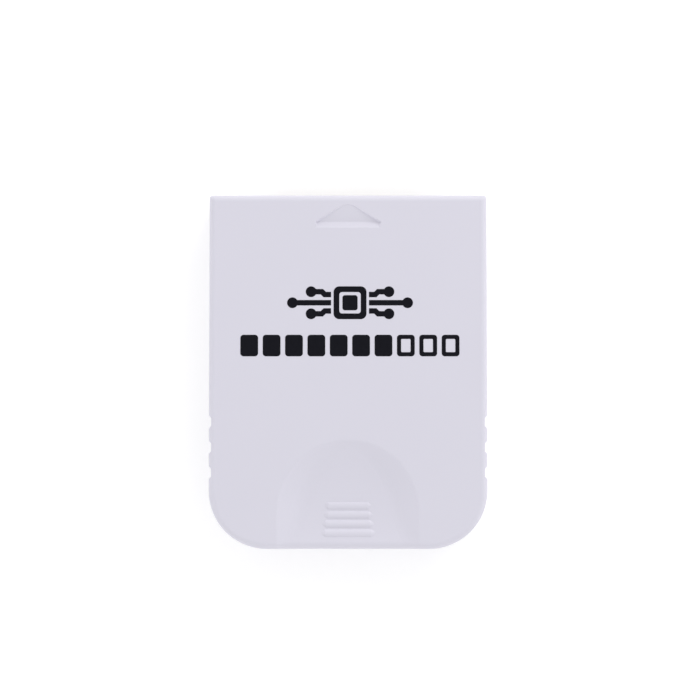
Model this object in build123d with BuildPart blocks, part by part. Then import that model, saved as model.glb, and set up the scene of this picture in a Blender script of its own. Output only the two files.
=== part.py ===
from build123d import *
import os

# A console memory card, in millimetres: two moulded shells that clamp a circuit board between them.
# X runs across the card, +Y points at the end that goes into the console, +Z out of the front face.
# The origin is the middle of the rear face, on which the card lies.

# Outline of the card
card_width = 44.0
card_length = 56.0
card_thickness = 8.0
grip_corner_radius = 9.2
entry_corner_radius = 0.5
inner_corner_radius = 0.3
face_edge_radius = 1.0

# Shell walls
front_wall = 1.6
rear_wall = 1.5
side_wall = 1.8
parting_height = 4.0
parting_groove = 0.2

# Lip of the front shell inside the rim of the rear one, with snap beads on it
lip_thickness = 0.8
lip_height = 1.2
lip_clearance = 0.1
bead_length = 6.0
bead_height = 0.5
bead_depth = 0.25
bead_draft = 30.0
bead_rows = 2
bead_pitch = 14.0
first_bead_from_entry = 15.0

# Thumb dish, an arch that opens at the grip end, with a hollowed floor and low rounded ribs on it
dish_radius = 11.2
dish_depth = 1.15
dish_crown_depth = 0.1
dish_mouth_depth = 0.25
dish_low_from_crown = 8.6
dish_from_grip_end = 6.0
dish_wall_run = 4.4
dish_wall_drop = 1.35
dish_blend_radius = 5.0
dish_rim_radius = 1.2
dish_wall = 1.2
dish_pad_margin = 0.8
rib_count = 4
rib_pitch = 1.45
rib_width = 1.2
rib_height = 0.2
rib_root = 0.3
rib_end_taper = 0.6
rib_sector = 110.0
first_rib_length = 8.4
rib_length_step = 0.35
first_rib_from_grip_end = 2.4

# Notches across the long sides
notch_count = 3
notch_pitch = 4.0
notch_mouth = 2.1
notch_floor = 1.2
notch_depth = 0.42
notch_corner_radius = 0.25
first_notch_from_grip_end = 12.0

# Sunk arrow that points at the entry end: deep at its base, running out at its tip
arrow_width = 10.5
arrow_length = 3.1
arrow_depth = 0.42
arrow_bevel = 1.0
arrow_bevel_inset = 0.3
arrow_tip_radius = 2.2
arrow_draft = 40.0
arrow_base_from_entry = 4.25

# Circuit board and the pegs that place it
board_thickness = 1.2
board_side_gap = 1.6
board_end_gap = 0.3
board_corner_radius = 1.0
board_bevel = 0.3
peg_diameter = 2.0
peg_clearance = 0.1
peg_reach = 1.4
peg_from_board_edge = 3.0
boss_diameter = 4.2
rail_width = 1.0

# Contacts on the board's edge, and the window that bares them
contact_count = 12
contact_pitch = 2.0
contact_width = 1.4
contact_length = 5.0
contact_thickness = 0.05
contact_corner_bevel = 0.3
contact_from_board_edge = 0.4
window_side_margin = 2.0
window_back_margin = 0.7
window_wall = 1.2
window_corner_radius = 0.8
window_lead_in = 0.8

# Parts on the board
part_gap = 1.0
chip_standoff = 0.1
chip_edge_bevel = 0.15
chip_mark_diameter = 0.8
chip_mark_depth = 0.1
lead_thickness = 0.15
lead_shoulder = 0.25
lead_foot = 0.45
controller_body = 7.0
controller_height = 1.4
controller_span = 9.0
controller_lead_pitch = 0.5
controller_lead_width = 0.22
controller_lead_rows = 4
controller_leads_per_row = 12
flash_body = 5.3
flash_height = 1.5
flash_span = 7.9
flash_lead_pitch = 1.27
flash_lead_width = 0.42
flash_lead_rows = 2
flash_leads_per_row = 4
crystal_length = 5.0
crystal_width = 3.2
crystal_base_height = 0.5
crystal_lid_height = 0.5
crystal_lid_inset = 0.3
crystal_corner_bevel = 0.3
bulk_length = 3.2
bulk_width = 1.6
bulk_height = 1.5
bulk_bevel = 0.3
bulk_terminal_length = 0.2
bulk_terminal_width = 1.2
bulk_terminal_height = 0.8
chip_part_length = 1.6
chip_part_width = 0.8
chip_part_cap_length = 0.35
chip_part_cap_step = 0.03
capacitor_height = 0.8
resistor_height = 0.45
resistor_count = 6

# Levels and lines that several pieces share
entry_y = card_length / 2
grip_y = -card_length / 2
rim_thickness = side_wall - lip_thickness - lip_clearance
lip_inset = side_wall - lip_thickness
front_ceiling = card_thickness - front_wall
dish_floor = card_thickness - dish_depth
dish_y = grip_y + dish_from_grip_end
dish_low_y = dish_y + dish_radius - dish_low_from_crown
dish_back_rise = dish_depth - dish_crown_depth
dish_back_radius = (dish_low_from_crown**2 + dish_back_rise**2) / (2 * dish_back_rise)
dish_front_rise = dish_depth - dish_mouth_depth
dish_front_radius = ((dish_low_y - grip_y) ** 2 + dish_front_rise**2) / (2 * dish_front_rise)
rib_crown_radius = (rib_width**2 / 4 + rib_height**2) / (2 * rib_height)
rib_floor_radius = rib_crown_radius - rib_height
board_front = parting_height + board_thickness
board_entry_y = entry_y - side_wall - board_end_gap
board_grip_y = dish_y + dish_radius + dish_pad_margin + board_end_gap
board_width = card_width - 2 * (side_wall + board_side_gap)
board_length = board_entry_y - board_grip_y
board_y = (board_entry_y + board_grip_y) / 2
peg_x = board_width / 2 - peg_from_board_edge
peg_y = board_grip_y + peg_from_board_edge
peg_spots = [(-peg_x, peg_y), (peg_x, peg_y)]
contact_y = board_entry_y - contact_from_board_edge - contact_length / 2
window_width = (contact_count - 1) * contact_pitch + contact_width + 2 * window_side_margin
window_back_y = contact_y - contact_length / 2 - window_back_margin
window_block_width = window_width + 2 * window_wall
window_block_back_y = window_back_y - window_wall


def card_outline(inset=0.0):
    """Plan of the card: square at the entry end, well rounded at the grip end, drawn in by an inset."""
    with BuildSketch() as plan:
        Rectangle(card_width - 2 * inset, card_length - 2 * inset)
        fillet(plan.vertices().group_by(Axis.Y)[0], grip_corner_radius - inset)
        fillet(plan.vertices().group_by(Axis.Y)[-1], max(entry_corner_radius - inset, inner_corner_radius))
    return plan.sketch


def grip_notches():
    """Plan of the notches across both long sides, each as wide outside the edge as it is deep."""
    with BuildSketch() as notch:
        with BuildLine():
            Polyline(
                (-notch_depth, -notch_floor / 2),
                (notch_depth, notch_floor / 2 - notch_mouth),
                (notch_depth, notch_mouth - notch_floor / 2),
                (-notch_depth, notch_floor / 2),
                close=True,
            )
        make_face()
        fillet(notch.vertices().group_by(Axis.X)[0], notch_corner_radius)
    middle_y = grip_y + first_notch_from_grip_end + (notch_count - 1) * notch_pitch / 2
    with BuildSketch() as plan:
        with Locations((card_width / 2, middle_y)):
            with GridLocations(0, notch_pitch, 1, notch_count):
                add(notch.sketch)
        mirror(about=Plane.YZ)
    return plan.sketch


def side_rim(shell, tolerance=0.01):
    """Edges round the outside walls of a shell's blank, apart from the upright ones."""
    upright = shell.faces().filter_by(lambda face: abs(face.normal_at().Z) < tolerance)
    return upright.edges().filter_by(Axis.Z, reverse=True)


def bead_planes():
    """Planes on the outer face of the lip, at each snap bead, looking outwards."""
    lip_x = card_width / 2 - lip_inset
    bead_z = parting_height - lip_height / 2
    planes = [Plane((0, grip_y + lip_inset, bead_z), x_dir=(1, 0, 0), z_dir=(0, -1, 0))]
    for row in range(bead_rows):
        bead_y = entry_y - first_bead_from_entry - row * bead_pitch
        for side in (-1, 1):
            planes.append(Plane((side * lip_x, bead_y, bead_z), x_dir=(0, 1, 0), z_dir=(side, 0, 0)))
    return planes


def seat(x, y):
    """Plane on the rear side of the board for a part that stands there, looking away from the board."""
    return Plane((x, y, parting_height), x_dir=(1, 0, 0), z_dir=(0, 0, -1))


def lead_planes(chip_seat, body, rows, leads_per_row, pitch):
    """Section planes of a chip's leads: x leads out of the body and y away from the board."""
    planes = []
    for row in range(rows):
        for lead in range(leads_per_row):
            along = (lead - (leads_per_row - 1) / 2) * pitch
            place = chip_seat.location * Rotation(0, 0, 360 / rows * row) * Location((body / 2, along, 0))
            planes.append(Plane(place.position, place.x_axis.direction, -place.y_axis.direction))
    return planes


def lead_section(reach, height):
    """Closed line of a gull-wing lead that leaves the body at half height and ends in a flat foot."""
    rise = chip_standoff + height / 2
    foot_x = reach - lead_foot
    return Polyline(
        (0, rise + lead_thickness / 2),
        (lead_shoulder, rise + lead_thickness / 2),
        (foot_x, lead_thickness),
        (reach, lead_thickness),
        (reach, 0),
        (foot_x - lead_thickness, 0),
        (lead_shoulder - lead_thickness, rise - lead_thickness / 2),
        (0, rise - lead_thickness / 2),
        close=True,
    )


os.makedirs("parts", exist_ok=True)

# Wedge that sinks the arrow: its plan is the arrow, and its side view slopes down to the base and up again
arrow_y = entry_y - arrow_base_from_entry
with BuildPart() as arrow_wedge:
    with BuildSketch(Plane.XY.offset(card_thickness)):
        with BuildLine():
            Polyline(
                (0, arrow_y + arrow_length),
                (arrow_width / 2, arrow_y),
                (arrow_width / 2 - arrow_bevel_inset, arrow_y - arrow_bevel),
                (arrow_bevel_inset - arrow_width / 2, arrow_y - arrow_bevel),
                (-arrow_width / 2, arrow_y),
                close=True,
            )
        arrow_plan = make_face()
        fillet(arrow_plan.vertices().sort_by(Axis.Y)[-1], arrow_tip_radius)
    extrude(amount=-arrow_depth, taper=arrow_draft)
    with BuildSketch(Plane.YZ):
        with BuildLine():
            Polyline(
                (arrow_y + arrow_length, card_thickness),
                (arrow_y, card_thickness - arrow_depth),
                (arrow_y - arrow_bevel, card_thickness),
                close=True,
            )
        make_face()
    extrude(amount=arrow_width, both=True, mode=Mode.INTERSECT)

# Block that sinks the thumb dish: its plan is an arch with sloping walls, and its side view is hollowed
with BuildPart() as dish_block:
    with BuildSketch(Plane.XZ.offset(-dish_y)):
        with BuildLine():
            Polyline(
                (0, card_thickness - dish_wall_drop),
                (dish_radius - dish_wall_run, card_thickness - dish_wall_drop),
                (dish_radius + dish_wall_run, card_thickness + dish_wall_drop),
                (0, card_thickness + dish_wall_drop),
                close=True,
            )
        dish_section = make_face()
    revolve(axis=Axis((0, dish_y, 0), (0, 0, 1)), revolution_arc=180)
    with BuildSketch(Plane.XZ.offset(-dish_y)):
        add(dish_section)
        mirror(about=Plane.YZ)
    extrude(amount=dish_from_grip_end + side_wall)
    with BuildSketch(Plane.YZ):
        with BuildLine():
            back = CenterArc((dish_low_y, dish_floor + dish_back_radius), dish_back_radius, 270, 90)
            front = CenterArc((dish_low_y, dish_floor + dish_front_radius), dish_front_radius, 180, 90)
            Line(back @ 1, front @ 0)
        make_face()
    extrude(amount=2 * dish_radius, both=True, mode=Mode.INTERSECT)
    scoop = dish_block.faces().sort_by(Axis.Z)[:2]
    fillet(scoop.edges().filter_by(Axis.X, reverse=True), dish_blend_radius)

# Front shell: the face with the arrow, the thumb dish and its ribs, and inside it the lip, rails and pegs
with BuildPart() as front_shell:
    with BuildSketch(Plane.XY.offset(parting_height)):
        add(card_outline())
    extrude(amount=card_thickness - parting_height)

    add(dish_block.part, mode=Mode.SUBTRACT)
    face = front_shell.faces().sort_by(Axis.Z)[-1]
    fillet(face.edges() - side_rim(front_shell), dish_rim_radius)
    face_rim = side_rim(front_shell).filter_by_position(Axis.Z, parting_height, card_thickness, (False, True))
    fillet(face_rim, face_edge_radius)
    chamfer(side_rim(front_shell).group_by(Axis.Z)[0], parting_groove)

    with BuildSketch(Plane.XY.offset(parting_height)):
        add(card_outline(side_wall))
    extrude(amount=front_ceiling - parting_height, mode=Mode.SUBTRACT)
    with BuildSketch(Plane.XY.offset(dish_floor - dish_wall)):
        with Locations((0, dish_y)):
            Circle(dish_radius + dish_pad_margin)
        with Locations((0, grip_y)):
            Rectangle(
                2 * (dish_radius + dish_pad_margin), dish_from_grip_end, align=(Align.CENTER, Align.MIN)
            )
        add(card_outline(side_wall), mode=Mode.INTERSECT)
    extrude(amount=front_ceiling - dish_floor + dish_wall)

    with BuildSketch(Plane.XY.offset(parting_height)):
        add(card_outline(lip_inset))
        add(card_outline(side_wall), mode=Mode.SUBTRACT)
        with Locations((0, window_block_back_y)):
            Rectangle(
                window_block_width + 2 * lip_clearance,
                entry_y - window_block_back_y,
                align=(Align.CENTER, Align.MIN),
                mode=Mode.SUBTRACT,
            )
    extrude(amount=-lip_height)
    with BuildSketch(*bead_planes()):
        Rectangle(bead_length, bead_height)
    extrude(amount=bead_depth, taper=bead_draft)

    with BuildSketch(Plane.XY.offset(board_front)):
        with Locations(*peg_spots):
            Circle(boss_diameter / 2)
        rail_length = entry_y - side_wall - peg_y
        with Locations(*[(x, y + rail_length / 2) for x, y in peg_spots]):
            Rectangle(rail_width, rail_length)
    extrude(amount=front_ceiling - board_front)
    with BuildSketch(Plane.XY.offset(board_front)):
        with Locations(*peg_spots):
            Circle(peg_diameter / 2)
    extrude(amount=-board_thickness - peg_reach)

    for rib in range(rib_count):
        rib_y = grip_y + first_rib_from_grip_end + rib * rib_pitch
        rib_tip = (first_rib_length - rib * rib_length_step) / 2
        rib_rise = dish_front_radius - (dish_front_radius**2 - (rib_y - dish_low_y) ** 2) ** 0.5
        rib_centre = (0, rib_y, dish_floor + rib_rise - rib_floor_radius)
        with BuildSketch(Plane(rib_centre, x_dir=(1, 0, 0), z_dir=(0, -1, 0)).rotated((rib_sector / 2, 0, 0))):
            with BuildLine():
                Polyline(
                    (-rib_tip, rib_floor_radius - rib_root),
                    (rib_tip, rib_floor_radius - rib_root),
                    (rib_tip, rib_floor_radius),
                    (rib_tip - rib_end_taper, rib_crown_radius),
                    (rib_end_taper - rib_tip, rib_crown_radius),
                    (-rib_tip, rib_floor_radius),
                    close=True,
                )
            make_face()
        revolve(axis=Axis(rib_centre, (-1, 0, 0)), revolution_arc=rib_sector)

    add(arrow_wedge.part, mode=Mode.SUBTRACT)
    with BuildSketch(Plane.XY.offset(parting_height)):
        add(grip_notches())
    extrude(amount=card_thickness - parting_height, mode=Mode.SUBTRACT)
front_shell.part.label = "front_shell"
export_step(front_shell.part, "parts/front_shell.step")

# Rear shell: a tray with a rebated rim for the lip, sockets for the pegs and the window at the entry end
with BuildPart() as rear_shell:
    with BuildSketch():
        add(card_outline())
    extrude(amount=parting_height)
    fillet(side_rim(rear_shell).group_by(Axis.Z)[0], face_edge_radius)
    chamfer(side_rim(rear_shell).group_by(Axis.Z)[-1], parting_groove)

    with BuildSketch(Plane.XY.offset(rear_wall)):
        add(card_outline(side_wall))
    extrude(amount=parting_height - rear_wall, mode=Mode.SUBTRACT)
    with BuildSketch(Plane.XY.offset(parting_height)):
        add(card_outline(rim_thickness))
    extrude(amount=-lip_height - lip_clearance, mode=Mode.SUBTRACT)
    with BuildSketch(*bead_planes()):
        Rectangle(bead_length + 2 * lip_clearance, bead_height + 2 * lip_clearance)
    extrude(amount=bead_depth + lip_clearance, mode=Mode.SUBTRACT)

    with BuildSketch(Plane.XY.offset(rear_wall)):
        block_front_y = entry_y - rim_thickness / 2
        with Locations((0, (block_front_y + window_block_back_y) / 2)):
            Rectangle(window_block_width, block_front_y - window_block_back_y)
        with Locations(*peg_spots):
            Circle(boss_diameter / 2)
    extrude(amount=parting_height - rear_wall)
    with BuildSketch(Plane.XY.offset(parting_height)):
        with Locations(*peg_spots):
            Circle(peg_diameter / 2 + peg_clearance)
    extrude(amount=-peg_reach - peg_clearance, mode=Mode.SUBTRACT)

    with BuildSketch() as window:
        mouth_x = window_width / 2 + window_lead_in
        with BuildLine():
            Polyline(
                (-window_width / 2, window_back_y),
                (window_width / 2, window_back_y),
                (window_width / 2, entry_y - window_lead_in),
                (mouth_x, entry_y),
                (mouth_x, entry_y + side_wall),
                (-mouth_x, entry_y + side_wall),
                (-mouth_x, entry_y),
                (-window_width / 2, entry_y - window_lead_in),
                close=True,
            )
        make_face()
        fillet(window.vertices().group_by(Axis.Y)[0], window_corner_radius)
    extrude(amount=parting_height, mode=Mode.SUBTRACT)
    with BuildSketch():
        add(grip_notches())
    extrude(amount=parting_height, mode=Mode.SUBTRACT)
rear_shell.part.label = "rear_shell"
export_step(rear_shell.part, "parts/rear_shell.step")

# Circuit board, with a bevelled leading edge and a hole for each peg
with BuildPart() as circuit_board:
    with BuildSketch(Plane.XY.offset(parting_height)):
        with Locations((0, board_y)):
            RectangleRounded(board_width, board_length, board_corner_radius)
        with Locations(*peg_spots):
            Circle(peg_diameter / 2 + peg_clearance, mode=Mode.SUBTRACT)
    extrude(amount=board_thickness)
    leading_edges = circuit_board.edges().filter_by(Axis.X).group_by(Axis.Z)[0]
    chamfer(leading_edges.sort_by(Axis.Y)[-1], board_bevel)
circuit_board.part.label = "circuit_board"
export_step(circuit_board.part, "parts/circuit_board.step")

# Gold contacts on the rear side of the board
for number in range(contact_count):
    contact_x = (number - (contact_count - 1) / 2) * contact_pitch
    with BuildPart() as edge_contact:
        with BuildSketch(seat(contact_x, contact_y)) as pad:
            Rectangle(contact_width, contact_length)
            chamfer(pad.vertices(), contact_corner_bevel)
        extrude(amount=contact_thickness)
    edge_contact.part.label = f"edge_contact_{number + 1:02d}"
    export_step(edge_contact.part, f"parts/edge_contact_{number + 1:02d}.step")

# Places of the parts on the board, counted from the window's back wall
resistor_y = window_block_back_y - part_gap - chip_part_length / 2
chip_row_y = resistor_y - chip_part_length / 2 - part_gap - controller_span / 2
controller_x = -(chip_part_width / 2 + part_gap + controller_span / 2)
flash_x = chip_part_width / 2 + part_gap + flash_span / 2
clock_row_y = chip_row_y - controller_span / 2 - part_gap - crystal_width / 2
controller_seat = seat(controller_x, chip_row_y)
flash_seat = seat(flash_x, chip_row_y)

# Controller: a flat pack with leads on four sides
with BuildPart() as controller_chip:
    with BuildSketch(controller_seat.offset(chip_standoff)):
        Rectangle(controller_body, controller_body)
    extrude(amount=controller_height)
    chamfer(controller_chip.faces().sort_by(Axis.Z)[0].edges(), chip_edge_bevel)
    with BuildSketch(controller_seat.offset(chip_standoff + controller_height)):
        with Locations((chip_mark_diameter - controller_body / 2, controller_body / 2 - chip_mark_diameter)):
            Circle(chip_mark_diameter / 2)
    extrude(amount=-chip_mark_depth, mode=Mode.SUBTRACT)
controller_chip.part.label = "controller_chip"
export_step(controller_chip.part, "parts/controller_chip.step")

with BuildPart() as controller_leads:
    controller_rows = lead_planes(
        controller_seat, controller_body, controller_lead_rows, controller_leads_per_row, controller_lead_pitch
    )
    with BuildSketch(*controller_rows):
        with BuildLine():
            lead_section((controller_span - controller_body) / 2, controller_height)
        make_face()
    extrude(amount=controller_lead_width / 2, both=True)
controller_leads.part.label = "controller_leads"
export_step(controller_leads.part, "parts/controller_leads.step")

# Flash memory: a small-outline chip with leads on two sides
with BuildPart() as flash_chip:
    with BuildSketch(flash_seat.offset(chip_standoff)):
        Rectangle(flash_body, flash_body)
    extrude(amount=flash_height)
    chamfer(flash_chip.faces().sort_by(Axis.Z)[0].edges(), chip_edge_bevel)
    with BuildSketch(flash_seat.offset(chip_standoff + flash_height)):
        with Locations((chip_mark_diameter - flash_body / 2, flash_body / 2 - chip_mark_diameter)):
            Circle(chip_mark_diameter / 2)
    extrude(amount=-chip_mark_depth, mode=Mode.SUBTRACT)
flash_chip.part.label = "flash_chip"
export_step(flash_chip.part, "parts/flash_chip.step")

with BuildPart() as flash_leads:
    flash_rows = lead_planes(flash_seat, flash_body, flash_lead_rows, flash_leads_per_row, flash_lead_pitch)
    with BuildSketch(*flash_rows):
        with BuildLine():
            lead_section((flash_span - flash_body) / 2, flash_height)
        make_face()
    extrude(amount=flash_lead_width / 2, both=True)
flash_leads.part.label = "flash_leads"
export_step(flash_leads.part, "parts/flash_leads.step")

# Crystal: a ceramic base under a metal lid
crystal_seat = seat(controller_x, clock_row_y)
with BuildPart() as crystal:
    with BuildSketch(crystal_seat) as crystal_base:
        Rectangle(crystal_length, crystal_width)
        chamfer(crystal_base.vertices(), crystal_corner_bevel)
    extrude(amount=crystal_base_height)
    with BuildSketch(crystal_seat.offset(crystal_base_height)) as crystal_lid:
        Rectangle(crystal_length - 2 * crystal_lid_inset, crystal_width - 2 * crystal_lid_inset)
        chamfer(crystal_lid.vertices(), crystal_corner_bevel)
    extrude(amount=crystal_lid_height)
crystal.part.label = "crystal"
export_step(crystal.part, "parts/crystal.step")

# Bulk capacitor: a moulded block, bevelled along one end, with a terminal at each end
bulk_seat = seat(flash_x, clock_row_y)
with BuildPart() as bulk_capacitor:
    with BuildSketch(bulk_seat):
        Rectangle(bulk_length, bulk_width)
    extrude(amount=bulk_height)
    marked_end = bulk_capacitor.edges().filter_by(Axis.Y).group_by(Axis.Z)[0].sort_by(Axis.X)[-1]
    chamfer(marked_end, bulk_bevel)
    with BuildSketch(bulk_seat):
        Rectangle(bulk_length + 2 * bulk_terminal_length, bulk_terminal_width)
    extrude(amount=bulk_terminal_height)
bulk_capacitor.part.label = "bulk_capacitor"
export_step(bulk_capacitor.part, "parts/bulk_capacitor.step")

# Chip capacitors beside the parts that they serve
beside = part_gap + chip_part_width / 2
capacitor_spots = [
    (controller_x - controller_span / 2 - beside, chip_row_y),
    (0, chip_row_y + chip_part_length / 2 + part_gap / 2),
    (0, chip_row_y - chip_part_length / 2 - part_gap / 2),
    (flash_x + flash_span / 2 + beside, chip_row_y),
    (controller_x - crystal_length / 2 - beside, clock_row_y),
    (controller_x + crystal_length / 2 + beside, clock_row_y),
]
for number, spot in enumerate(capacitor_spots, start=1):
    with BuildPart() as capacitor:
        with BuildSketch(seat(*spot).offset(chip_part_cap_step)):
            Rectangle(chip_part_width - 2 * chip_part_cap_step, chip_part_length - chip_part_cap_length)
        extrude(amount=capacitor_height - 2 * chip_part_cap_step)
        with BuildSketch(seat(*spot)):
            with GridLocations(0, chip_part_length - chip_part_cap_length, 1, 2):
                Rectangle(chip_part_width, chip_part_cap_length)
        extrude(amount=capacitor_height)
    capacitor.part.label = f"capacitor_{number}"
    export_step(capacitor.part, f"parts/capacitor_{number}.step")

# Chip resistors in a row behind the contacts, in line with every second gap
for number in range(resistor_count):
    resistor_x = (number - (resistor_count - 1) / 2) * 2 * contact_pitch
    with BuildPart() as resistor:
        with BuildSketch(seat(resistor_x, resistor_y).offset(chip_part_cap_step)):
            Rectangle(chip_part_width - 2 * chip_part_cap_step, chip_part_length - chip_part_cap_length)
        extrude(amount=resistor_height - 2 * chip_part_cap_step)
        with BuildSketch(seat(resistor_x, resistor_y)):
            with GridLocations(0, chip_part_length - chip_part_cap_length, 1, 2):
                Rectangle(chip_part_width, chip_part_cap_length)
        extrude(amount=resistor_height)
    resistor.part.label = f"resistor_{number + 1}"
    export_step(resistor.part, f"parts/resistor_{number + 1}.step")
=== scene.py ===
"""Looks of a console memory card: a finish for every piece, print on its face and a plain studio.

Sizes are in millimetres, and turn into metres where a mesh, a pattern or a lamp takes them. X runs
across the card, +Y towards the end that goes into the console, and +Z out of the front face.
"""

import logging
import math
from collections.abc import Iterable, Mapping, Sequence
from dataclasses import dataclass
from enum import Enum
from itertools import pairwise

import bmesh
import bpy
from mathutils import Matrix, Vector


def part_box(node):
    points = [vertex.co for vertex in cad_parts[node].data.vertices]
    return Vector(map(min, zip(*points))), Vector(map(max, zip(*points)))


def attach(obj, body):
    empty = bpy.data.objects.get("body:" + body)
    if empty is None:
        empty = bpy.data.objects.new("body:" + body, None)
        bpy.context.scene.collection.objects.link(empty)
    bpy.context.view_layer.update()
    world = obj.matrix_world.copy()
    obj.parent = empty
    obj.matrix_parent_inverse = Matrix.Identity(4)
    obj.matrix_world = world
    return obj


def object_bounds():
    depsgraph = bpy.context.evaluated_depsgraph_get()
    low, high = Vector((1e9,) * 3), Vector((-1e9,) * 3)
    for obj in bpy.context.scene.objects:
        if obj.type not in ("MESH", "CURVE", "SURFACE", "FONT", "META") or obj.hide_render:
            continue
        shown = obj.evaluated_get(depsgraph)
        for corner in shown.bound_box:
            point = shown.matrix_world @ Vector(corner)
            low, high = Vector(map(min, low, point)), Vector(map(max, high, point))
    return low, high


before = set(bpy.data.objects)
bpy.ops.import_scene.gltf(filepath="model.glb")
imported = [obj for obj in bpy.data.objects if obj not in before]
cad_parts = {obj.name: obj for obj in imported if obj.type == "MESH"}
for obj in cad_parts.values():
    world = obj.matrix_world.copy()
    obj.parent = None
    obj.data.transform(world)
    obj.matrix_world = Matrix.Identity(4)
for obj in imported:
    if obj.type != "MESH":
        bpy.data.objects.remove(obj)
cad_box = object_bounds()

LOG = logging.getLogger("memory_card")
MM = 0.001
BODY = "root"
WHITE = (1.0, 1.0, 1.0, 1.0)

# The sRGB curve: a straight foot, and a power curve above it
BYTE_MAX = 255
FOOT_END = 0.04045
FOOT_SLOPE = 12.92
CURVE_OFFSET = 0.055
CURVE_POWER = 2.4

# Sockets of the Mix node that carry colours
MIX_A = 6
MIX_B = 7
MIX_RESULT = 2

# Middle of a piece in Generated coordinates, which run from zero to one across it
MIDDLE = 0.5

Point = tuple[float, float]
Outline = list[Point]
NodeInput = float | tuple[float, ...] | bpy.types.NodeSocket
NodeInputs = Mapping[str | int, NodeInput]


def linear(hex_colour: str) -> tuple[float, float, float, float]:
    """Turn an sRGB hex colour into the linear colour that Blender's sockets take.

    Args:
        hex_colour: Colour such as "#DAD8E4".

    Returns:
        Linear red, green and blue, and an alpha of one.
    """
    levels = [byte / BYTE_MAX for byte in bytes.fromhex(hex_colour[1:])]
    red, green, blue = (
        level / FOOT_SLOPE
        if level <= FOOT_END
        else ((level + CURVE_OFFSET) / (1 + CURVE_OFFSET)) ** CURVE_POWER
        for level in levels
    )
    return red, green, blue, 1.0


def per_metre(size_mm: float) -> float:
    """Scale of a pattern, in repeats for each metre, from the real size of one repeat."""
    return 1 / (size_mm * MM)


def add_node(
    tree: bpy.types.NodeTree,
    kind: str,
    inputs: NodeInputs | None = None,
    **settings: str,
) -> bpy.types.Node:
    """Add one node to a tree, with its settings, its input values and its links.

    Args:
        tree: Node tree that takes the node.
        kind: Blender's name for the type of node.
        inputs: For each input, by name or index, the value that it holds or the output that feeds it.
        **settings: Properties of the node, such as the operation of a Math node.

    Returns:
        The new node.
    """
    node = tree.nodes.new(kind)
    for name, value in settings.items():
        setattr(node, name, value)
    for key, value in (inputs or {}).items():
        if isinstance(value, bpy.types.NodeSocket):
            tree.links.new(value, node.inputs[key])
        else:
            node.inputs[key].default_value = value
    return node


def seen_directly(tree: bpy.types.NodeTree) -> bpy.types.NodeSocket:
    """Make an output that is one for camera, glossy and transmission rays, and zero for diffuse light.

    Args:
        tree: Node tree that takes the nodes.

    Returns:
        The output socket.
    """
    rays = add_node(tree, "ShaderNodeLightPath").outputs
    seen = rays["Is Camera Ray"]
    for kind in ("Is Glossy Ray", "Is Transmission Ray"):
        seen = add_node(tree, "ShaderNodeMath", {0: seen, 1: rays[kind]}, operation="MAXIMUM").outputs[0]
    return seen


def add_object(name: str, data: bpy.types.ID) -> bpy.types.Object:
    """Make an object and link it to the scene.

    Args:
        name: Name of the object.
        data: Mesh, lamp or camera that it shows.

    Returns:
        The new object.
    """
    made = bpy.data.objects.new(name, data)
    bpy.context.scene.collection.objects.link(made)
    return made


class Along(Enum):
    """Direction in which a board part runs from one tinned end to the other."""

    ACROSS_CARD = "X"
    ALONG_CARD = "Y"


class Block(Enum):
    """State of one printed storage block."""

    FULL = "full"
    FREE = "free"


@dataclass(frozen=True)
class Finish:
    """What all finishes share: a named material with one shader, whose sockets each finish fills."""

    name: str

    def material(self) -> bpy.types.Material:
        """Make the finish's material.

        Returns:
            A new material with its nodes in place.
        """
        material = bpy.data.materials.new(self.name)
        material.use_nodes = True
        tree = material.node_tree
        tree.nodes.clear()
        shader = add_node(tree, "ShaderNodeBsdfPrincipled", self.sockets(tree))
        add_node(tree, "ShaderNodeOutputMaterial", {"Surface": shader.outputs["BSDF"]})
        return material

    def sockets(self, tree: bpy.types.NodeTree) -> NodeInputs:
        """Add the nodes of the finish's patterns.

        Args:
            tree: Node tree of the material.

        Returns:
            For each socket of the Principled shader, its value or the output that feeds it.
        """
        raise NotImplementedError


@dataclass(frozen=True)
class MouldedAbs(Finish):
    """White ABS, injection moulded against a finely spark-eroded steel face.

    The eye sees an even, nearly matt white with a faint violet tint, and a paler sheen along the rounded
    edges. The pits of such a face are about 0.05 mm wide, and are drawn six times as coarse so that they
    show.
    """

    name: str = "white_moulded_abs"
    colour: str = "#DAD8E4"
    flow_colour: str = "#D8D6E2"
    flow_mm: float = 12.0
    grain_mm: float = 0.3
    grain_depth_mm: float = 0.006
    roughness: float = 0.42
    roughness_spread: float = 0.05
    ior: float = 1.53

    def sockets(self, tree: bpy.types.NodeTree) -> NodeInputs:
        """Add faint flow marks in the colour and fine pits in the surface.

        Args:
            tree: Node tree of the material.

        Returns:
            For each socket of the Principled shader, its value or the output that feeds it.
        """
        place = add_node(tree, "ShaderNodeTexCoord").outputs["Object"]
        flow = add_node(tree, "ShaderNodeTexNoise", {"Vector": place, "Scale": per_metre(self.flow_mm)})
        grain = add_node(tree, "ShaderNodeTexNoise", {"Vector": place, "Scale": per_metre(self.grain_mm)})
        colour = add_node(
            tree,
            "ShaderNodeMix",
            {"Factor": flow.outputs["Fac"], MIX_A: linear(self.colour), MIX_B: linear(self.flow_colour)},
            data_type="RGBA",
        )
        roughness = add_node(
            tree,
            "ShaderNodeMapRange",
            {
                "Value": grain.outputs["Fac"],
                "To Min": self.roughness - self.roughness_spread,
                "To Max": self.roughness + self.roughness_spread,
            },
        )
        pits = add_node(
            tree,
            "ShaderNodeBump",
            {"Height": grain.outputs["Fac"], "Distance": self.grain_depth_mm * MM},
        )
        return {
            "Base Color": colour.outputs[MIX_RESULT],
            "Roughness": roughness.outputs["Result"],
            "Normal": pits.outputs["Normal"],
            "IOR": self.ior,
        }


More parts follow.
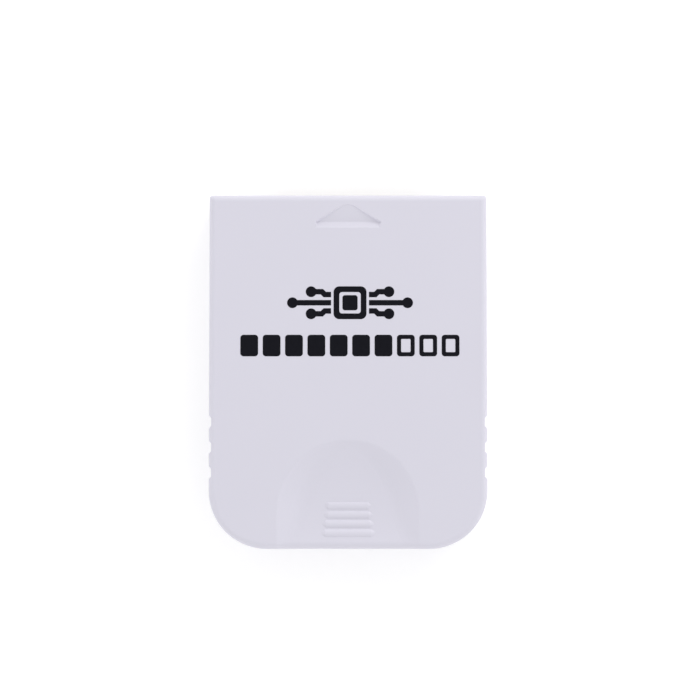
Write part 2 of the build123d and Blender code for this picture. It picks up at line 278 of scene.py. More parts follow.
@dataclass(frozen=True)
class PadPrintInk(Finish):
    """Black two-part ink, laid on the moulded face by a silicone pad.

    The eye sees a flat, slightly bluish black that is a little duller where the pad left less ink. Its
    matting powder breaks up most of the sheen.
    """

    name: str = "black_pad_print_ink"
    colour: str = "#101016"
    thin_colour: str = "#17171E"
    mottle_mm: float = 0.8
    roughness: float = 0.5
    roughness_spread: float = 0.08
    ior: float = 1.5
    sheen_level: float = 0.06

    def sockets(self, tree: bpy.types.NodeTree) -> NodeInputs:
        """Add the uneven coat of ink.

        Args:
            tree: Node tree of the material.

        Returns:
            For each socket of the Principled shader, its value or the output that feeds it.
        """
        place = add_node(tree, "ShaderNodeTexCoord").outputs["Object"]
        coat = add_node(tree, "ShaderNodeTexNoise", {"Vector": place, "Scale": per_metre(self.mottle_mm)})
        colour = add_node(
            tree,
            "ShaderNodeMix",
            {"Factor": coat.outputs["Fac"], MIX_A: linear(self.colour), MIX_B: linear(self.thin_colour)},
            data_type="RGBA",
        )
        roughness = add_node(
            tree,
            "ShaderNodeMapRange",
            {
                "Value": coat.outputs["Fac"],
                "To Min": self.roughness - self.roughness_spread,
                "To Max": self.roughness + self.roughness_spread,
            },
        )
        return {
            "Base Color": colour.outputs[MIX_RESULT],
            "Roughness": roughness.outputs["Result"],
            "IOR": self.ior,
            "Specular IOR Level": self.sheen_level,
        }


@dataclass(frozen=True)
class PlatedMetal(Finish):
    """Plated metal, either hard gold on the contacts or tin on the leads.

    The eye sees a soft metallic shine, drawn out into fine streaks where springs wipe along the plating.
    Wipe marks are about 0.02 mm wide, and are drawn several times as coarse so that they show.
    """

    colour: str
    worn_colour: str
    streak_width_mm: float
    streak_length_mm: float
    roughness: float
    roughness_spread: float

    def sockets(self, tree: bpy.types.NodeTree) -> NodeInputs:
        """Add the streaks in colour and gloss.

        Args:
            tree: Node tree of the material.

        Returns:
            For each socket of the Principled shader, its value or the output that feeds it.
        """
        place = add_node(tree, "ShaderNodeTexCoord").outputs["Object"]
        stretch = (per_metre(self.streak_width_mm), per_metre(self.streak_length_mm), 0.0)
        drawn_out = add_node(tree, "ShaderNodeMapping", {"Vector": place, "Scale": stretch})
        noise = add_node(tree, "ShaderNodeTexNoise", {"Vector": drawn_out.outputs["Vector"], "Scale": 1.0})
        streaks = noise.outputs["Fac"]
        colour = add_node(
            tree,
            "ShaderNodeMix",
            {"Factor": streaks, MIX_A: linear(self.colour), MIX_B: linear(self.worn_colour)},
            data_type="RGBA",
        )
        roughness = add_node(
            tree,
            "ShaderNodeMapRange",
            {
                "Value": streaks,
                "To Min": self.roughness - self.roughness_spread,
                "To Max": self.roughness + self.roughness_spread,
            },
        )
        return {
            "Base Color": colour.outputs[MIX_RESULT],
            "Roughness": roughness.outputs["Result"],
            "Metallic": 1.0,
        }


@dataclass(frozen=True, kw_only=True)
class MaskedLaminate(Finish):
    """Glass-epoxy laminate under green solder mask, left bare round the contacts and along its sawn edges.

    The eye sees a glossy dark green with paler copper traces under it, and a dull straw-coloured weave
    where it is bare.
    """

    bare_from_y_mm: float
    trace_x_mm: float
    trace_pitch_mm: float
    trace_from_y_mm: float
    trace_field_mm: float
    name: str = "green_masked_laminate"
    mask_colour: str = "#17492F"
    trace_colour: str = "#2A6B45"
    bare_colour: str = "#A79A62"
    bare_dark_colour: str = "#8C8052"
    trace_width_mm: float = 0.4
    weave_mm: float = 0.5
    weave_depth_mm: float = 0.004
    mask_roughness: float = 0.28
    bare_roughness: float = 0.55
    edge_level: float = 0.5
    ior: float = 1.52

    def sockets(self, tree: bpy.types.NodeTree) -> NodeInputs:
        """Add the weave, the traces, and the line between masked and bare laminate.

        Args:
            tree: Node tree of the material.

        Returns:
            For each socket of the Principled shader, its value or the output that feeds it.
        """
        coordinates = add_node(tree, "ShaderNodeTexCoord").outputs
        place = add_node(tree, "ShaderNodeSeparateXYZ", {"Vector": coordinates["Object"]}).outputs
        facing = add_node(tree, "ShaderNodeSeparateXYZ", {"Vector": coordinates["Normal"]}).outputs
        weave = self.weave(tree, place)
        traces = self.traces(tree, place)
        bare = self.bare(tree, place, facing)
        masked_colour = add_node(
            tree,
            "ShaderNodeMix",
            {"Factor": traces, MIX_A: linear(self.mask_colour), MIX_B: linear(self.trace_colour)},
            data_type="RGBA",
        ).outputs[MIX_RESULT]
        bare_colour = add_node(
            tree,
            "ShaderNodeMix",
            {"Factor": weave, MIX_A: linear(self.bare_dark_colour), MIX_B: linear(self.bare_colour)},
            data_type="RGBA",
        ).outputs[MIX_RESULT]
        colour = add_node(
            tree,
            "ShaderNodeMix",
            {"Factor": bare, MIX_A: masked_colour, MIX_B: bare_colour},
            data_type="RGBA",
        )
        roughness = add_node(
            tree,
            "ShaderNodeMapRange",
            {"Value": bare, "To Min": self.mask_roughness, "To Max": self.bare_roughness},
        )
        relief = add_node(tree, "ShaderNodeBump", {"Height": weave, "Distance": self.weave_depth_mm * MM})
        return {
            "Base Color": colour.outputs[MIX_RESULT],
            "Roughness": roughness.outputs["Result"],
            "Normal": relief.outputs["Normal"],
            "IOR": self.ior,
        }

    def weave(
        self, tree: bpy.types.NodeTree, place: Mapping[str, bpy.types.NodeSocket]
    ) -> bpy.types.NodeSocket:
        """Add the weave of the glass cloth, which rises and falls along X and along Y.

        Args:
            tree: Node tree of the material.
            place: Where a point lies, by axis.

        Returns:
            Output that runs from zero to one.
        """
        turn = math.tau * per_metre(self.weave_mm)
        waves = []
        for axis in ("X", "Y"):
            angle = add_node(tree, "ShaderNodeMath", {0: place[axis], 1: turn}, operation="MULTIPLY")
            wave = add_node(tree, "ShaderNodeMath", {0: angle.outputs[0]}, operation="SINE")
            waves.append(wave.outputs[0])
        crossed = add_node(tree, "ShaderNodeMath", {0: waves[0], 1: waves[1]}, operation="MULTIPLY")
        weave = add_node(tree, "ShaderNodeMapRange", {"Value": crossed.outputs[0], "From Min": -1.0})
        return weave.outputs["Result"]

    def traces(self, tree: bpy.types.NodeTree, place: Mapping[str, bpy.types.NodeSocket]) -> NodeInput:
        """Add the copper traces that run back from the contacts.

        Args:
            tree: Node tree of the material.
            place: Where a point lies, by axis.

        Returns:
            Output that is one on a trace and zero beside it.
        """
        shifted = add_node(
            tree,
            "ShaderNodeMath",
            {0: place["X"], 1: self.trace_x_mm * MM},
            operation="SUBTRACT",
        )
        beside = add_node(
            tree,
            "ShaderNodeMath",
            {0: shifted.outputs[0], 1: self.trace_pitch_mm / 2 * MM},
            operation="PINGPONG",
        )
        across = add_node(tree, "ShaderNodeMath", {0: place["X"]}, operation="ABSOLUTE")
        limits = (
            (beside.outputs[0], "LESS_THAN", self.trace_width_mm / 2),
            (across.outputs[0], "LESS_THAN", self.trace_field_mm / 2),
            (place["Y"], "GREATER_THAN", self.trace_from_y_mm),
        )
        traces: NodeInput = 1.0
        for value, test, limit_mm in limits:
            passed = add_node(tree, "ShaderNodeMath", {0: value, 1: limit_mm * MM}, operation=test)
            both = add_node(tree, "ShaderNodeMath", {0: passed.outputs[0], 1: traces}, operation="MULTIPLY")
            traces = both.outputs[0]
        return traces

    def bare(
        self,
        tree: bpy.types.NodeTree,
        place: Mapping[str, bpy.types.NodeSocket],
        facing: Mapping[str, bpy.types.NodeSocket],
    ) -> bpy.types.NodeSocket:
        """Add the stretches without solder mask: round the contacts, and along the sawn edges.

        Args:
            tree: Node tree of the material.
            place: Where a point lies, by axis.
            facing: Which way the surface faces there, by axis.

        Returns:
            Output that is one where the laminate is bare and zero where it is masked.
        """
        level = add_node(tree, "ShaderNodeMath", {0: facing["Z"]}, operation="ABSOLUTE")
        sawn = add_node(
            tree,
            "ShaderNodeMath",
            {0: level.outputs[0], 1: self.edge_level},
            operation="LESS_THAN",
        )
        opened = add_node(
            tree,
            "ShaderNodeMath",
            {0: place["Y"], 1: self.bare_from_y_mm * MM},
            operation="GREATER_THAN",
        )
        bare = add_node(
            tree,
            "ShaderNodeMath",
            {0: sawn.outputs[0], 1: opened.outputs[0]},
            operation="MAXIMUM",
        )
        return bare.outputs[0]


@dataclass(frozen=True)
class ChipEpoxy(Finish):
    """Black silica-filled epoxy, transfer moulded round a chip.

    The eye sees a dull charcoal with a fine even grain. The grain is about 0.05 mm wide, and is drawn three
    times as coarse so that it shows.
    """

    name: str = "black_chip_epoxy"
    colour: str = "#1B1B1D"
    filler_colour: str = "#2A2A2C"
    grain_mm: float = 0.15
    grain_depth_mm: float = 0.004
    roughness: float = 0.62
    ior: float = 1.55

    def sockets(self, tree: bpy.types.NodeTree) -> NodeInputs:
        """Add the grain of the filler.

        Args:
            tree: Node tree of the material.

        Returns:
            For each socket of the Principled shader, its value or the output that feeds it.
        """
        place = add_node(tree, "ShaderNodeTexCoord").outputs["Object"]
        grain = add_node(tree, "ShaderNodeTexNoise", {"Vector": place, "Scale": per_metre(self.grain_mm)})
        colour = add_node(
            tree,
            "ShaderNodeMix",
            {"Factor": grain.outputs["Fac"], MIX_A: linear(self.colour), MIX_B: linear(self.filler_colour)},
            data_type="RGBA",
        )
        relief = add_node(
            tree,
            "ShaderNodeBump",
            {"Height": grain.outputs["Fac"], "Distance": self.grain_depth_mm * MM},
        )
        return {
            "Base Color": colour.outputs[MIX_RESULT],
            "Normal": relief.outputs["Normal"],
            "Roughness": self.roughness,
            "IOR": self.ior,
        }


@dataclass(frozen=True)
class TinnedEnds(Finish):
    """Small board part: a ceramic or moulded body between two tinned ends.

    The eye sees a dull body, a marked face away from the board, and a soft metallic shine at both ends.
    """

    along: Along
    end_share: float
    body_colour: str
    face_colour: str
    face_from_share: float = 0.0
    end_colour: str = "#CFCFCA"
    face_level: float = -0.7
    mottle_mm: float = 0.2
    mottle: float = 0.15
    body_roughness: float = 0.5
    end_roughness: float = 0.34

    def sockets(self, tree: bpy.types.NodeTree) -> NodeInputs:
        """Add the tinned ends, and the face colour on the side away from the board.

        Args:
            tree: Node tree of the material.

        Returns:
            For each socket of the Principled shader, its value or the output that feeds it.
        """
        coordinates = add_node(tree, "ShaderNodeTexCoord").outputs
        share = add_node(tree, "ShaderNodeSeparateXYZ", {"Vector": coordinates["Generated"]}).outputs
        facing = add_node(tree, "ShaderNodeSeparateXYZ", {"Vector": coordinates["Normal"]}).outputs
        lengthwise = share[self.along.value]
        tinned = self.tinned(tree, lengthwise)
        marked = self.marked(tree, lengthwise, facing["Z"])
        body = add_node(
            tree,
            "ShaderNodeMix",
            {"Factor": marked, MIX_A: linear(self.body_colour), MIX_B: linear(self.face_colour)},
            data_type="RGBA",
        ).outputs[MIX_RESULT]
        grain = add_node(
            tree,
            "ShaderNodeTexNoise",
            {"Vector": coordinates["Object"], "Scale": per_metre(self.mottle_mm)},
        )
        shade = add_node(
            tree,
            "ShaderNodeMapRange",
            {"Value": grain.outputs["Fac"], "To Min": 1 - self.mottle, "To Max": 1.0},
        )
        plain = add_node(
            tree,
            "ShaderNodeMix",
            {"Factor": tinned, MIX_A: body, MIX_B: linear(self.end_colour)},
            data_type="RGBA",
        )
        colour = add_node(
            tree,
            "ShaderNodeMix",
            {"Factor": 1.0, MIX_A: plain.outputs[MIX_RESULT], MIX_B: shade.outputs["Result"]},
            data_type="RGBA",
            blend_type="MULTIPLY",
        )
        roughness = add_node(
            tree,
            "ShaderNodeMapRange",
            {"Value": tinned, "To Min": self.body_roughness, "To Max": self.end_roughness},
        )
        return {
            "Base Color": colour.outputs[MIX_RESULT],
            "Roughness": roughness.outputs["Result"],
            "Metallic": tinned,
        }

    def tinned(self, tree: bpy.types.NodeTree, lengthwise: bpy.types.NodeSocket) -> bpy.types.NodeSocket:
        """Add the split between the body and its two ends.

        Args:
            tree: Node tree of the material.
            lengthwise: How far along the part a point lies, from zero to one.

        Returns:
            Output that is one on the tinned ends and zero between them.
        """
        off_middle = add_node(tree, "ShaderNodeMath", {0: lengthwise, 1: MIDDLE}, operation="SUBTRACT")
        outwards = add_node(tree, "ShaderNodeMath", {0: off_middle.outputs[0]}, operation="ABSOLUTE")
        tinned = add_node(
            tree,
            "ShaderNodeMath",
            {0: outwards.outputs[0], 1: MIDDLE - self.end_share},
            operation="GREATER_THAN",
        )
        return tinned.outputs[0]

    def marked(
        self,
        tree: bpy.types.NodeTree,
        lengthwise: bpy.types.NodeSocket,
        upwards: bpy.types.NodeSocket,
    ) -> bpy.types.NodeSocket:
        """Add the marked stretch of the face that looks away from the board.

        Args:
            tree: Node tree of the material.
            lengthwise: How far along the part a point lies, from zero to one.
            upwards: How far the surface faces towards +Z there.

        Returns:
            Output that is one on the marked stretch and zero elsewhere.
        """
        away = add_node(tree, "ShaderNodeMath", {0: upwards, 1: self.face_level}, operation="LESS_THAN")
        beyond = add_node(
            tree,
            "ShaderNodeMath",
            {0: lengthwise, 1: self.face_from_share},
            operation="GREATER_THAN",
        )
        marked = add_node(
            tree,
            "ShaderNodeMath",
            {0: away.outputs[0], 1: beyond.outputs[0]},
            operation="MULTIPLY",
        )
        return marked.outputs[0]


@dataclass(frozen=True)
class LiddedCeramic(Finish):
    """Crystal package: a dark fired base under a seam-welded nickel lid.

    The eye sees a bright brushed lid over a dull grey ceramic tray.
    """

    name: str = "nickel_lid_on_ceramic"
    lid_colour: str = "#C8C4BA"
    base_colour: str = "#5B5752"
    lid_share: float = 0.5
    brush_width_mm: float = 0.06
    brush_length_mm: float = 3.0
    brush_depth_mm: float = 0.001
    lid_roughness: float = 0.3
    base_roughness: float = 0.6

    def sockets(self, tree: bpy.types.NodeTree) -> NodeInputs:
        """Add the split between lid and base, and the brushing of the lid.

        Args:
            tree: Node tree of the material.

        Returns:
            For each socket of the Principled shader, its value or the output that feeds it.
        """
        coordinates = add_node(tree, "ShaderNodeTexCoord").outputs
        share = add_node(tree, "ShaderNodeSeparateXYZ", {"Vector": coordinates["Generated"]}).outputs
        below = add_node(tree, "ShaderNodeMath", {0: share["Z"], 1: self.lid_share}, operation="LESS_THAN")
        lid = below.outputs[0]
        stretch = (per_metre(self.brush_length_mm), per_metre(self.brush_width_mm), 0.0)
        stretched = add_node(
            tree,
            "ShaderNodeMapping",
            {"Vector": coordinates["Object"], "Scale": stretch},
        ).outputs["Vector"]
        brushing = add_node(tree, "ShaderNodeTexNoise", {"Vector": stretched, "Scale": 1.0})
        relief = add_node(
            tree,
            "ShaderNodeBump",
            {"Height": brushing.outputs["Fac"], "Distance": self.brush_depth_mm * MM},
        )
        colour = add_node(
            tree,
            "ShaderNodeMix",
            {"Factor": lid, MIX_A: linear(self.base_colour), MIX_B: linear(self.lid_colour)},
            data_type="RGBA",
        )
        roughness = add_node(
            tree,
            "ShaderNodeMapRange",
            {"Value": lid, "To Min": self.base_roughness, "To Max": self.lid_roughness},
        )
        return {
            "Base Color": colour.outputs[MIX_RESULT],
            "Roughness": roughness.outputs["Result"],
            "Metallic": lid,
            "Normal": relief.outputs["Normal"],
        }


@dataclass(frozen=True)
class StudioFloor(Finish):
    """Matt white paper sweep, lit to white where the camera or a reflection sees it.

    The eye sees plain white with the card's soft shadow on it.
    """

    name: str = "white_paper_floor"
    colour: str = "#E6E6E6"
    roughness: float = 0.9
    lift: float = 0.36

    def sockets(self, tree: bpy.types.NodeTree) -> NodeInputs:
        """Add the extra light that only the camera and reflections see.

        Args:
            tree: Node tree of the material.

        Returns:
            For each socket of the Principled shader, its value or the output that feeds it.
        """
        seen = seen_directly(tree)
        lift = add_node(tree, "ShaderNodeMath", {0: seen, 1: self.lift}, operation="MULTIPLY")
        return {
            "Base Color": linear(self.colour),
            "Roughness": self.roughness,
            "Emission Color": WHITE,
            "Emission Strength": lift.outputs[0],
        }


def dress_nodes(nodes: Iterable[str], finish: Finish) -> None:
    """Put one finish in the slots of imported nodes, and report each.

    Args:
        nodes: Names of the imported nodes.
        finish: Finish that they share.
    """
    material = finish.material()
    for node in nodes:
        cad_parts[node].material_slots[0].material = material
        LOG.info("%s is dressed in %s", node, material.name)


def nodes_named(stem: str) -> list[str]:
    """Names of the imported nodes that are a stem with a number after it, in order."""
    return [node for node in sorted(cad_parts) if node.rpartition("_")[0] == stem]


@dataclass
class Housing:
    """The two moulded shells."""

    shells: tuple[str, ...] = ("front_shell", "rear_shell")

    def dress(self) -> None:
        """Give both shells the same moulded plastic."""
        dress_nodes(self.shells, MouldedAbs())


@dataclass
class FacePrint:
    """Print on the front face: a chip with its traces, over a row of storage blocks."""

    chip_centre: Point = (0.32, 10.83)
    chip_side: float = 5.2
    chip_corner: float = 0.9
    chip_stroke: float = 0.9
    core_side: float = 2.4
    core_corner: float = 0.4
    trace_width: float = 0.85
    trace_gap: float = 0.4
    trace_rise: float = 0.45
    outer_trace_offset: float = 1.3
    outer_reach: float = 7.0
    middle_reach: float = 9.95
    lead_out: float = 1.0
    pad_radius: float = 0.85
    block_row_centre: Point = (0.3, 4.05)
    block_row_width: float = 34.6
    block_width: float = 2.8
    block_height: float = 3.4
    block_corner: float = 0.5
    block_stroke: float = 0.65
    full_blocks: int = 7
    free_blocks: int = 3
    ink_height: float = 0.02
    ink_depth: float = 0.01
    corner_steps: int = 8
    pad_steps: int = 28

    def build(self) -> list[bpy.types.Object]:
        """Make the two pieces of print.

        Returns:
            The chip and the row of blocks.
        """
        return [
            self.piece("print_chip", self.chip_shapes()),
            self.piece("print_storage_blocks", self.block_shapes()),
        ]

    def dress(self, pieces: Sequence[bpy.types.Object]) -> None:
        """Ink the pieces of print and let them ride on the card.

        Args:
            pieces: What build returned.
        """
        ink = PadPrintInk().material()
        for piece in pieces:
            piece.data.materials.append(ink)
            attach(piece, BODY)
            LOG.info("%s is printed in %s", piece.name, ink.name)

    def chip_shapes(self) -> list[list[Outline]]:
        """Outlines of the chip, its core and its traces.

        Returns:
            For each shape its outline, with the outline of its hole after it where it has one.
        """
        inner_side = self.chip_side - 2 * self.chip_stroke
        inner_corner = self.chip_corner - self.chip_stroke / 2
        shapes = [
            [
                self.rounded_box(self.chip_centre, self.chip_side, self.chip_side, self.chip_corner),
                self.rounded_box(self.chip_centre, inner_side, inner_side, inner_corner),
            ],
            [self.rounded_box(self.chip_centre, self.core_side, self.core_side, self.core_corner)],
        ]
        start = self.chip_side / 2 + self.trace_gap
        bend = start + self.lead_out
        for side in (-1, 1):
            shapes.append([self.trace(side, [(start, 0.0), (self.middle_reach - self.pad_radius, 0.0)])])
            for up in (-1, 1):
                low = up * self.outer_trace_offset
                high = up * (self.outer_trace_offset + self.trace_rise)
                route = [
                    (start, low),
                    (bend, low),
                    (bend + self.trace_rise, high),
                    (self.outer_reach - self.pad_radius, high),
                ]
                shapes.append([self.trace(side, route)])
        return shapes

    def block_shapes(self) -> list[list[Outline]]:
        """Outlines of the storage blocks.

        Returns:
            For each block its outline, with the outline of its hole after it where it is free.
        """
        blocks = [Block.FULL] * self.full_blocks + [Block.FREE] * self.free_blocks
        pitch = (self.block_row_width - self.block_width) / (len(blocks) - 1)
        hole_width = self.block_width - 2 * self.block_stroke
        hole_height = self.block_height - 2 * self.block_stroke
        hole_corner = self.block_corner - self.block_stroke / 2
        shapes = []
        for number, block in enumerate(blocks):
            offset = (number - (len(blocks) - 1) / 2) * pitch
            centre = (self.block_row_centre[0] + offset, self.block_row_centre[1])
            shape = [self.rounded_box(centre, self.block_width, self.block_height, self.block_corner)]
            if block is Block.FREE:
                shape.append(self.rounded_box(centre, hole_width, hole_height, hole_corner))
            shapes.append(shape)
        return shapes

    def rounded_box(self, centre: Point, width: float, height: float, corner: float) -> Outline:
        """Outline of a box with round corners.

        Args:
            centre: Middle of the box.
            width: Size along X.
            height: Size along Y.
            corner: Radius of the corners.

        Returns:
            Points, anticlockwise.
        """
        outline = []
        for quarter, (right, up) in enumerate(((1, 1), (-1, 1), (-1, -1), (1, -1))):
            corner_x = centre[0] + right * (width / 2 - corner)
            corner_y = centre[1] + up * (height / 2 - corner)
            for step in range(self.corner_steps + 1):
                angle = math.pi / 2 * (quarter + step / self.corner_steps)
                outline.append((corner_x + corner * math.cos(angle), corner_y + corner * math.sin(angle)))
        return outline

    def trace(self, side: int, route: Sequence[Point]) -> Outline:
        """Outline of a trace of even width that ends in a round pad.

        Args:
            side: 1 for a trace to the right of the chip, -1 for its mirror image to the left.
            route: Middle line of the trace, from the chip's middle as origin; its last run is level.

        Returns:
            Points, anticlockwise.
        """
        half = self.trace_width / 2
        edges: dict[int, Outline] = {-1: [], 1: []}
        for number, (x, y) in enumerate(route[:-1]):
            after = math.atan2(route[number + 1][1] - y, route[number + 1][0] - x)
            before = after
            if number:
                before = math.atan2(y - route[number - 1][1], x - route[number - 1][0])
            normal = (before + after) / 2 + math.pi / 2
            mitre = half / math.cos((after - before) / 2)
            for edge, points in edges.items():
                points.append((x + edge * mitre * math.cos(normal), y + edge * mitre * math.sin(normal)))
        pad_x, pad_y = route[-1]
        opening = math.pi - math.asin(half / self.pad_radius)
        pad = []
        for step in range(self.pad_steps + 1):
            angle = opening * (2 * step / self.pad_steps - 1)
            x = pad_x + self.pad_radius * math.cos(angle)
            y = pad_y + self.pad_radius * math.sin(angle)
            pad.append((x, y))
        outline = edges[-1] + pad + edges[1][::-1]
        placed = [(self.chip_centre[0] + side * x, self.chip_centre[1] + y) for x, y in outline]
        return placed[::side]

    def piece(self, name: str, shapes: Sequence[Sequence[Outline]]) -> bpy.types.Object:
        """Make a thin coat of ink on the front face from its outlines.

        A plain shape has a cap above and below, and a wall between them. The wall of a shape with a hole
        goes on over its top, down the hole and back underneath.

        Args:
            name: Name of the piece.
            shapes: For each shape its outline, and the outline of its hole where it has one.

        Returns:
            The new object.
        """
        face_height = cad_box[1].z / MM
        levels = (face_height - self.ink_depth, face_height + self.ink_height)
        mesh = bmesh.new()
        caps = []
        for shape in shapes:
            low, high, *hole = [
                [mesh.verts.new((x, y, z)) for x, y in outline] for outline in shape for z in levels
            ]
            loops = [low, high]
            if hole:
                hole_low, hole_high = hole
                loops += [hole_high, hole_low, low]
            else:
                caps.append(mesh.faces.new(high))
                caps.append(mesh.faces.new(low[::-1]))
            for near, far in pairwise(loops):
                self.band(mesh, near, far)
        mesh.normal_update()
        bmesh.ops.triangulate(mesh, faces=caps, ngon_method="EAR_CLIP")
        bmesh.ops.scale(mesh, vec=(MM, MM, MM), verts=mesh.verts)
        data = bpy.data.meshes.new(name)
        mesh.to_mesh(data)
        mesh.free()
        return add_object(name, data)

    @staticmethod
    def band(
        mesh: bmesh.types.BMesh,
        near: Sequence[bmesh.types.BMVert],
        far: Sequence[bmesh.types.BMVert],
    ) -> None:
        """Close the strip between two loops that have as many points.

        Args:
            mesh: Mesh that holds both loops.
            near: First loop.
            far: Second loop.
        """
        for here in range(len(near)):
            there = (here + 1) % len(near)
            mesh.faces.new((near[here], near[there], far[there], far[here]))


@dataclass
class Board:
    """The circuit board, its contacts and the parts on it."""

    mask_margin: float = 0.3
    trace_run: float = 6.0

    def dress(self) -> None:
        """Give the board and each part on it its own finish."""
        contacts = nodes_named("edge_contact")
        dress_nodes(["circuit_board"], self.laminate(contacts))
        dress_nodes(contacts, self.gold())
        dress_nodes(["controller_chip", "flash_chip"], ChipEpoxy())
        dress_nodes(["controller_leads", "flash_leads"], self.tin())
        dress_nodes(["crystal"], LiddedCeramic())
        dress_nodes(["bulk_capacitor"], self.tantalum())
        dress_nodes(nodes_named("capacitor"), self.ceramic())
        dress_nodes(nodes_named("resistor"), self.film())

    def laminate(self, contacts: Sequence[str]) -> MaskedLaminate:
        """Green laminate that is bare round the contacts, with a trace behind each.

        Args:
            contacts: Names of the contacts' nodes, in order along X.

        Returns:
            The board's finish.
        """
        first_low, first_high = (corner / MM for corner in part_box(contacts[0]))
        second_low, _ = (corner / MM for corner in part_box(contacts[1]))
        pitch = second_low.x - first_low.x
        return MaskedLaminate(
            bare_from_y_mm=first_low.y - self.mask_margin,
            trace_x_mm=(first_low.x + first_high.x) / 2,
            trace_pitch_mm=pitch,
            trace_from_y_mm=first_low.y - self.trace_run,
            trace_field_mm=len(contacts) * pitch,
        )

    @staticmethod
    def gold() -> PlatedMetal:
        """Hard gold over nickel, wiped along the card by the console's springs."""
        return PlatedMetal(
            name="hard_gold_plate",
            colour="#EBC878",
            worn_colour="#D9B062",
            streak_width_mm=0.12,
            streak_length_mm=4.0,
            roughness=0.26,
            roughness_spread=0.1,
        )

    @staticmethod
    def tin() -> PlatedMetal:
        """Matt tin on copper leads."""
        return PlatedMetal(
            name="matt_tin_plate",
            colour="#CFCFCA",
            worn_colour="#BFBFBA",
            streak_width_mm=0.2,
            streak_length_mm=0.2,
            roughness=0.38,
            roughness_spread=0.08,
        )

    @staticmethod
    def tantalum() -> TinnedEnds:
        """Yellow moulded block with a darker bar at its marked end."""
        return TinnedEnds(
            name="yellow_moulded_capacitor",
            along=Along.ACROSS_CARD,
            end_share=0.055,
            body_colour="#C48A2A",
            face_colour="#7A4A16",
            face_from_share=0.76,
        )

    @staticmethod
    def ceramic() -> TinnedEnds:
        """Brown fired titanate between tinned ends."""
        return TinnedEnds(
            name="fired_capacitor_ceramic",
            along=Along.ALONG_CARD,
            end_share=0.22,
            body_colour="#A07E5A",
            face_colour="#A8865F",
        )

    @staticmethod
    def film() -> TinnedEnds:
        """White alumina under a black glazed film, between tinned ends."""
        return TinnedEnds(
            name="glazed_resistor_film",
            along=Along.ALONG_CARD,
            end_share=0.22,
            body_colour="#DDD9CF",
            face_colour="#18181A",
        )


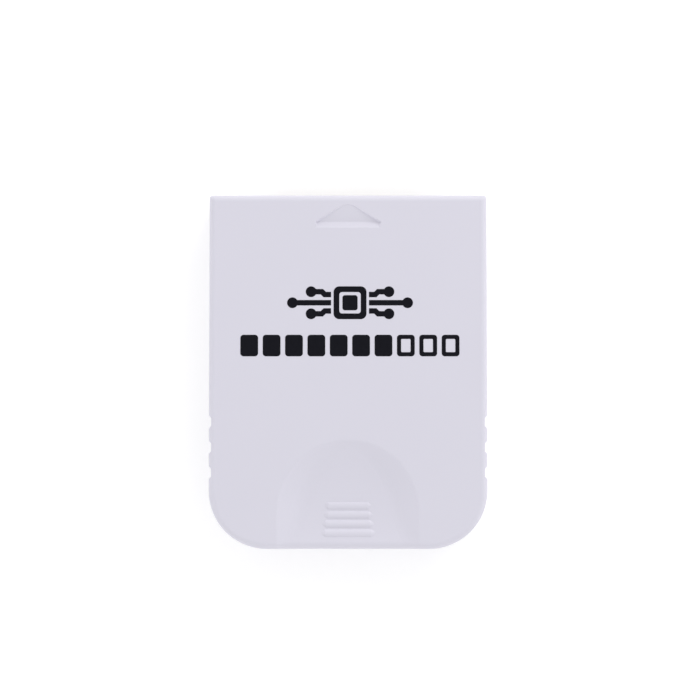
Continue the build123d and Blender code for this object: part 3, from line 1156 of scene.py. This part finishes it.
@dataclass
class Studio:
    """White floor, soft light and a camera that looks down on the card as the photograph does.

    The photograph is 700 pixels square. The card's middle lies a little left of its middle and below it.
    """

    frame_px: int = 700
    card_centre_px: Point = (348.0, 371.2)
    pixel_mm: float = 0.1579
    camera_distance: float = 300.0
    camera_elevation: float = 87.0
    sensor: float = 36.0
    clip_start: float = 1.0
    floor_side: float = 6000.0
    tent_top_light: float = 0.45
    tent_side_light: float = 1.75
    backdrop_light: float = 1.0
    key_direction: tuple[float, float, float] = (0.11, 0.18, 0.12)
    key_distance: float = 700.0
    key_side: float = 420.0
    key_power: float = 1.16

    def build(self) -> None:
        """Make the floor, the light and the camera."""
        self.lay_floor()
        self.light_sky()
        self.hang_key_light()
        self.aim_camera()

    def lay_floor(self) -> None:
        """Lay the white floor under the card."""
        half = self.floor_side / 2 * MM
        data = bpy.data.meshes.new("floor")
        corners = [(-half, -half, 0), (half, -half, 0), (half, half, 0), (-half, half, 0)]
        data.from_pydata(corners, [], [(0, 1, 2, 3)])
        data.materials.append(StudioFloor().material())
        floor = add_object("floor", data)
        LOG.info("floor is laid")

    def light_sky(self) -> None:
        """Light the card as a white tent does, more from the sides than from above, before plain white."""
        world = bpy.data.worlds.new("studio_sky")
        bpy.context.scene.world = world
        world.use_nodes = True
        tree = world.node_tree
        tree.nodes.clear()
        direction = add_node(tree, "ShaderNodeTexCoord").outputs["Generated"]
        height = add_node(tree, "ShaderNodeSeparateXYZ", {"Vector": direction}).outputs["Z"]
        steepness = add_node(tree, "ShaderNodeMath", {0: height}, operation="ABSOLUTE").outputs[0]
        strength = add_node(
            tree,
            "ShaderNodeMapRange",
            {"Value": steepness, "To Min": self.tent_side_light, "To Max": self.tent_top_light},
        ).outputs["Result"]
        light = add_node(tree, "ShaderNodeBackground", {"Color": WHITE, "Strength": strength})
        backdrop = add_node(tree, "ShaderNodeBackground", {"Color": WHITE, "Strength": self.backdrop_light})
        sky = add_node(
            tree,
            "ShaderNodeMixShader",
            {0: seen_directly(tree), 1: light.outputs["Background"], 2: backdrop.outputs["Background"]},
        )
        add_node(tree, "ShaderNodeOutputWorld", {"Surface": sky.outputs["Shader"]})
        LOG.info("sky is lit")

    def hang_key_light(self) -> None:
        """Hang a large soft lamp beyond the card's far right corner, about 30 degrees up."""
        lamp = bpy.data.lights.new("key_light", "AREA")
        lamp.shape = "SQUARE"
        lamp.size = self.key_side * MM
        lamp.energy = self.key_power
        key = add_object("key_light", lamp)
        direction = Vector(self.key_direction).normalized()
        key.location = direction * self.key_distance * MM
        key.rotation_euler = direction.to_track_quat("Z", "Y").to_euler()
        key.visible_camera = False
        LOG.info("key light is hung")

    def aim_camera(self) -> None:
        """Aim the camera so that the card's face has its place and size in the photograph."""
        middle = self.frame_px / 2
        aim = Vector((
            (middle - self.card_centre_px[0]) * self.pixel_mm * MM,
            (self.card_centre_px[1] - middle) * self.pixel_mm * MM,
            cad_box[1].z,
        ))
        elevation = math.radians(self.camera_elevation)
        back = Vector((0.0, -math.cos(elevation), math.sin(elevation)))
        data = bpy.data.cameras.new("camera")
        data.sensor_width = self.sensor
        data.lens = self.sensor * self.camera_distance / (self.frame_px * self.pixel_mm)
        data.clip_start = self.clip_start * MM
        camera = add_object("camera", data)
        camera.location = aim + back * self.camera_distance * MM
        camera.rotation_euler = back.to_track_quat("Z", "Y").to_euler()
        bpy.context.scene.camera = camera
        LOG.info("camera is aimed")


def main() -> None:
    """Dress the card, print its face and set up the studio."""
    logging.basicConfig(level=logging.INFO, format="%(message)s")
    bpy.context.scene.view_settings.view_transform = "Standard"
    Housing().dress()
    face_print = FacePrint()
    face_print.dress(face_print.build())
    Board().dress()
    Studio().build()


if __name__ == "__main__":
    main()
